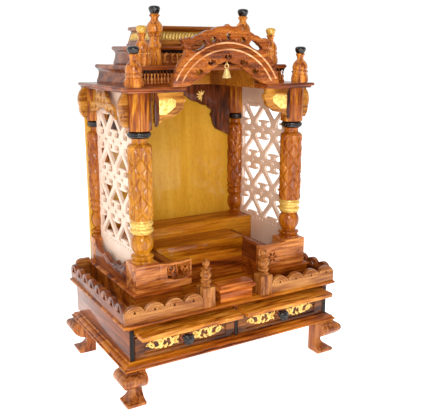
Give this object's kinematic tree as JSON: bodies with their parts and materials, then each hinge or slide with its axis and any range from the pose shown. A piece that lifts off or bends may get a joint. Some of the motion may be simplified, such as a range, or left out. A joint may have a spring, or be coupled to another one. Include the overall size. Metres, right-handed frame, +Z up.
{
  "type": "pooja mandir",
  "caption": "Wooden home temple with carved arch, turned pillars and pierced screens, on a legged stand with two drawers and two pull-out trays.",
  "frame": {"origin": "on the floor, under the middle of the whole box with the trays as they stand", "axes": "+X to the temple's right as seen from the front, +Y from the front to the back panel, +Z up"},
  "size_m": [0.624, 0.4124, 0.8919],
  "materials": {
    "polished_wood": "gloss lacquer",
    "golden_wood": "gloss lacquer",
    "dark_wood": "gloss lacquer",
    "cream_paint": "satin paint",
    "brass": "polished"
  },
  "bodies": {
    "shrine": {"arch": "polished_wood", "back_panel": "golden_wood", "base_board": "polished_wood", "bell_hook": "brass", "case_back": "polished_wood", "case_divider": "polished_wood", "case_sides": "polished_wood", "corner_blocks": "polished_wood", "dust_shelf": "polished_wood", "finials_front": "polished_wood", "finials_middle": "polished_wood", "finials_rear": "polished_wood", "front_brackets": "polished_wood", "front_panels": "polished_wood", "gate_posts": "polished_wood", "legs": "polished_wood", "lower_step": "golden_wood", "pillars_front": "polished_wood", "pillars_rear": "polished_wood", "platform_board": "polished_wood", "plinth_base": "polished_wood", "rail_front": "polished_wood", "rail_rear": "polished_wood", "rail_sides": "polished_wood", "rear_brackets": "polished_wood", "recess_cheeks": "polished_wood", "roof_board": "polished_wood", "roof_tier_lower": "polished_wood", "roof_tier_upper": "polished_wood", "roof_top": "polished_wood", "screen_left": "cream_paint", "screen_right": "cream_paint", "side_brackets": "polished_wood", "side_crests": "golden_wood", "side_panels": "polished_wood", "threshold": "polished_wood", "upper_step": "golden_wood"},
    "drawer_left": {"drawer_left": "polished_wood", "knob_left": "dark_wood"},
    "drawer_right": {"drawer_right": "polished_wood", "knob_right": "dark_wood"},
    "tray_left": {"tray_left": "polished_wood"},
    "tray_right": {"tray_right": "polished_wood"},
    "bell": {"bell": "brass"}
  },
  "joints": [
    {"name": "drawer_left_slide", "type": "slide", "parent": "shrine", "child": "drawer_left", "axis": [0, -1, 0], "range_m": [0, 0.23]},
    {"name": "drawer_right_slide", "type": "slide", "parent": "shrine", "child": "drawer_right", "axis": [0, -1, 0], "range_m": [0, 0.23]},
    {"name": "tray_left_slide", "type": "slide", "parent": "shrine", "child": "tray_left", "axis": [0, -1, 0], "range_m": [-0.043, 0.16]},
    {"name": "tray_right_slide", "type": "slide", "parent": "shrine", "child": "tray_right", "axis": [0, -1, 0], "range_m": [-0.043, 0.16]},
    {"name": "bell_swing", "type": "hinge", "parent": "shrine", "child": "bell", "pos_m": [0, -0.11275, 0.7586], "axis": [0, 1, 0], "range_deg": [-35, 35]}
  ]
}
